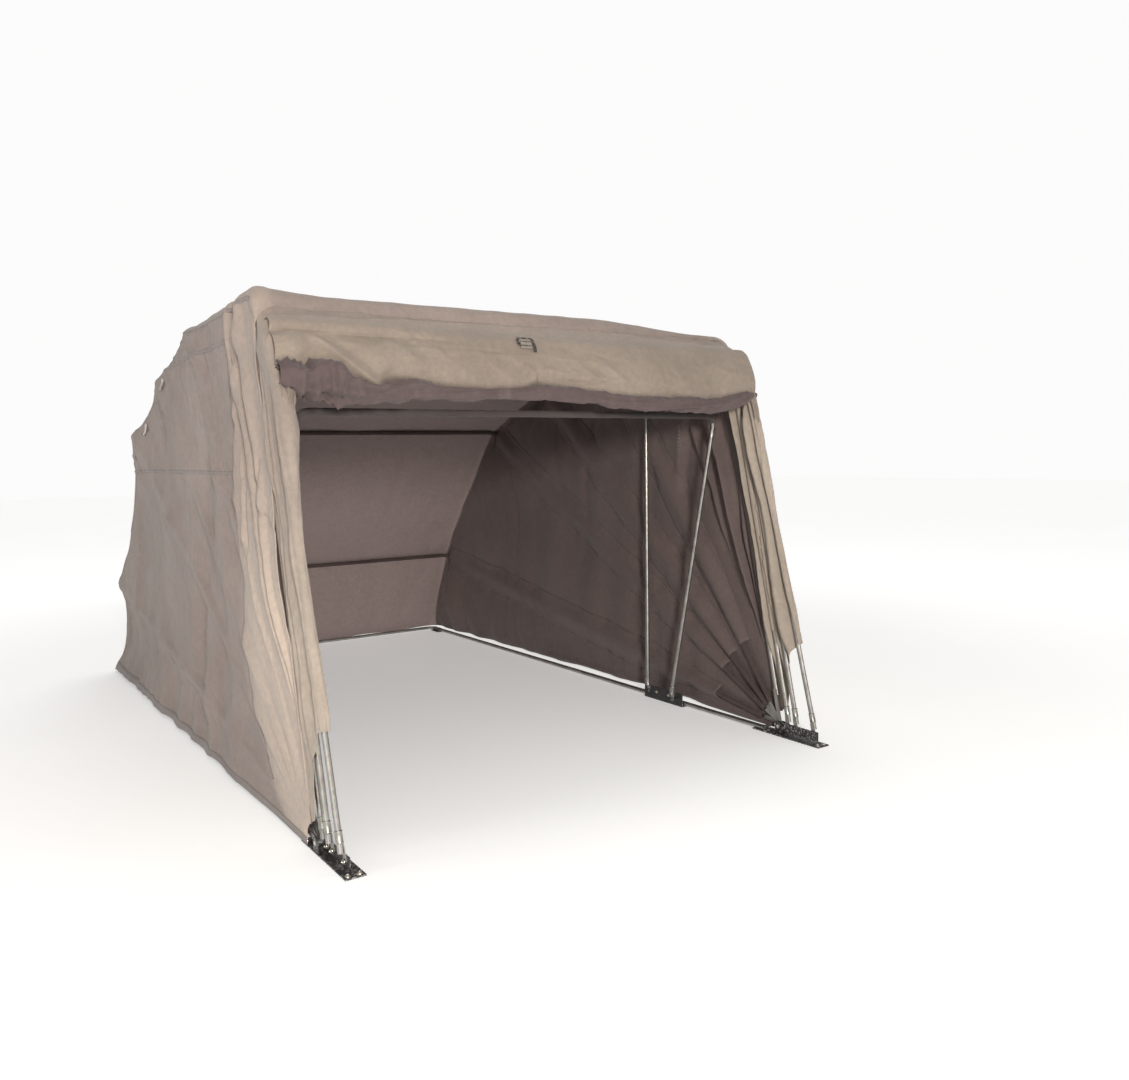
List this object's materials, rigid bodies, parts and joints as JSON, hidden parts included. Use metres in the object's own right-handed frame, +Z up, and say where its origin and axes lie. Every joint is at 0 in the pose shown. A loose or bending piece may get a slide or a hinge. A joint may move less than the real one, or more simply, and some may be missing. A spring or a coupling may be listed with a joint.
{
  "type": "fold-back vehicle shelter",
  "caption": "Fold-back vehicle shelter: cloth canopy on hinged tube bows that fan from a pivot bracket at each side, front cover folded up, inner roof stands, ground rails.",
  "frame": {"origin": "centre of the footprint, on the ground", "axes": "+Y runs to the closed rear end, so the open front faces -Y; +X is to the right seen from the front; +Z is up"},
  "size_m": [2.6192, 4.3356, 2.1667],
  "materials": {
    "galvanised_tube": "galvanised round tube",
    "black_steel": "black powder coat, scuffed",
    "zinc_pin": "zinc plated",
    "canopy_cloth": "matt coated woven cloth",
    "front_cloth": "matt coated woven cloth",
    "webbing": "woven strap"
  },
  "bodies": {
    "ground_frame": {"base_bracket_left": "black_steel", "base_bracket_right": "black_steel", "main_pin_left": "zinc_pin", "main_pin_right": "zinc_pin", "ground_rail_left": "galvanised_tube", "ground_rail_right": "galvanised_tube", "ground_rail_rear": "galvanised_tube", "stand_plate_left": "black_steel", "stand_plate_right": "black_steel", "rear_foot_left": "black_steel", "rear_foot_right": "black_steel", "canopy": "canopy_cloth", "wall_left": "canopy_cloth", "wall_right": "canopy_cloth"},
    "ridge_bow": {"ridge_bow_crossbar": "galvanised_tube", "ridge_bow_left_leg": "galvanised_tube", "ridge_bow_right_leg": "galvanised_tube", "pivot_carrier_left": "black_steel", "pivot_carrier_right": "black_steel", "front_band": "front_cloth", "curtain_left": "front_cloth", "curtain_right": "front_cloth"},
    "front_bow": {"front_bow_crossbar": "galvanised_tube", "front_bow_left_leg": "galvanised_tube", "front_bow_right_leg": "galvanised_tube", "front_apron": "front_cloth", "pull_handle": "webbing"},
    "second_bow": {"second_bow_crossbar": "galvanised_tube", "second_bow_left_leg": "galvanised_tube", "second_bow_right_leg": "galvanised_tube"},
    "third_bow": {"third_bow_crossbar": "galvanised_tube", "third_bow_left_leg": "galvanised_tube", "third_bow_right_leg": "galvanised_tube"},
    "roof_bow": {"roof_bow_crossbar": "galvanised_tube", "roof_bow_left_leg": "galvanised_tube", "roof_bow_right_leg": "galvanised_tube"},
    "shoulder_bow": {"shoulder_bow_crossbar": "galvanised_tube", "shoulder_bow_left_leg": "galvanised_tube", "shoulder_bow_right_leg": "galvanised_tube"},
    "rear_bow": {"rear_bow_crossbar": "galvanised_tube", "rear_bow_left_leg": "galvanised_tube", "rear_bow_right_leg": "galvanised_tube"},
    "tail_bow": {"tail_bow_crossbar": "galvanised_tube", "tail_bow_left_leg": "galvanised_tube", "tail_bow_right_leg": "galvanised_tube"},
    "roof_stand": {"roof_stand_crossbar": "galvanised_tube", "roof_stand_left_post": "galvanised_tube", "roof_stand_right_post": "galvanised_tube"},
    "brace_stand": {"brace_stand_crossbar": "galvanised_tube", "brace_stand_left_post": "galvanised_tube", "brace_stand_right_post": "galvanised_tube"}
  },
  "joints": [
    {"name": "rear_fold", "type": "hinge", "parent": "ground_frame", "child": "ridge_bow", "pos_m": [0, -1.8678, 0.042], "axis": [1, 0, 0], "range_deg": [-36, 0], "deforming": ["canopy", "wall_left", "wall_right"]},
    {"name": "front_close", "type": "hinge", "parent": "ridge_bow", "child": "front_bow", "pos_m": [0, -2.0968, 0.042], "axis": [1, 0, 0], "range_deg": [0, 102], "deforming": ["front_band", "curtain_left", "curtain_right"]},
    {"name": "second_bow_turn", "type": "hinge", "parent": "ridge_bow", "child": "second_bow", "pos_m": [0, -1.9778, 0.042], "axis": [1, 0, 0], "range_deg": [0, 66.8]},
    {"name": "third_bow_turn", "type": "hinge", "parent": "ridge_bow", "child": "third_bow", "pos_m": [0, -1.9228, 0.042], "axis": [1, 0, 0], "range_deg": [0, 33.1]},
    {"name": "roof_bow_turn", "type": "hinge", "parent": "ground_frame", "child": "roof_bow", "pos_m": [0, -1.8678, 0.042], "axis": [1, 0, 0], "range_deg": [-22.4, 0]},
    {"name": "shoulder_bow_turn", "type": "hinge", "parent": "ground_frame", "child": "shoulder_bow", "pos_m": [0, -1.8678, 0.042], "axis": [1, 0, 0], "range_deg": [-18.6, 0]},
    {"name": "rear_bow_turn", "type": "hinge", "parent": "ground_frame", "child": "rear_bow", "pos_m": [0, -1.8678, 0.042], "axis": [1, 0, 0], "range_deg": [-16.3, 0]},
    {"name": "tail_bow_turn", "type": "hinge", "parent": "ground_frame", "child": "tail_bow", "pos_m": [0, -1.8678, 0.042], "axis": [1, 0, 0], "range_deg": [-6, 0]},
    {"name": "roof_stand_turn", "type": "hinge", "parent": "ground_frame", "child": "roof_stand", "pos_m": [0, -0.8478, 0.05], "axis": [1, 0, 0], "range_deg": [-86, 0]},
    {"name": "brace_stand_turn", "type": "hinge", "parent": "ground_frame", "child": "brace_stand", "pos_m": [0, -1.1028, 0.05], "axis": [1, 0, 0], "range_deg": [-98.6, 0]}
  ],
  "couplings": [
    {"joint": "second_bow_turn", "follows": "front_close", "ratio": 0.6549},
    {"joint": "third_bow_turn", "follows": "front_close", "ratio": 0.3245},
    {"joint": "roof_bow_turn", "follows": "rear_fold", "ratio": 0.62222},
    {"joint": "shoulder_bow_turn", "follows": "rear_fold", "ratio": 0.51666},
    {"joint": "rear_bow_turn", "follows": "rear_fold", "ratio": 0.45277},
    {"joint": "tail_bow_turn", "follows": "rear_fold", "ratio": 0.16666},
    {"joint": "roof_stand_turn", "follows": "rear_fold", "ratio": 2.3889},
    {"joint": "brace_stand_turn", "follows": "rear_fold", "ratio": 2.7389}
  ]
}
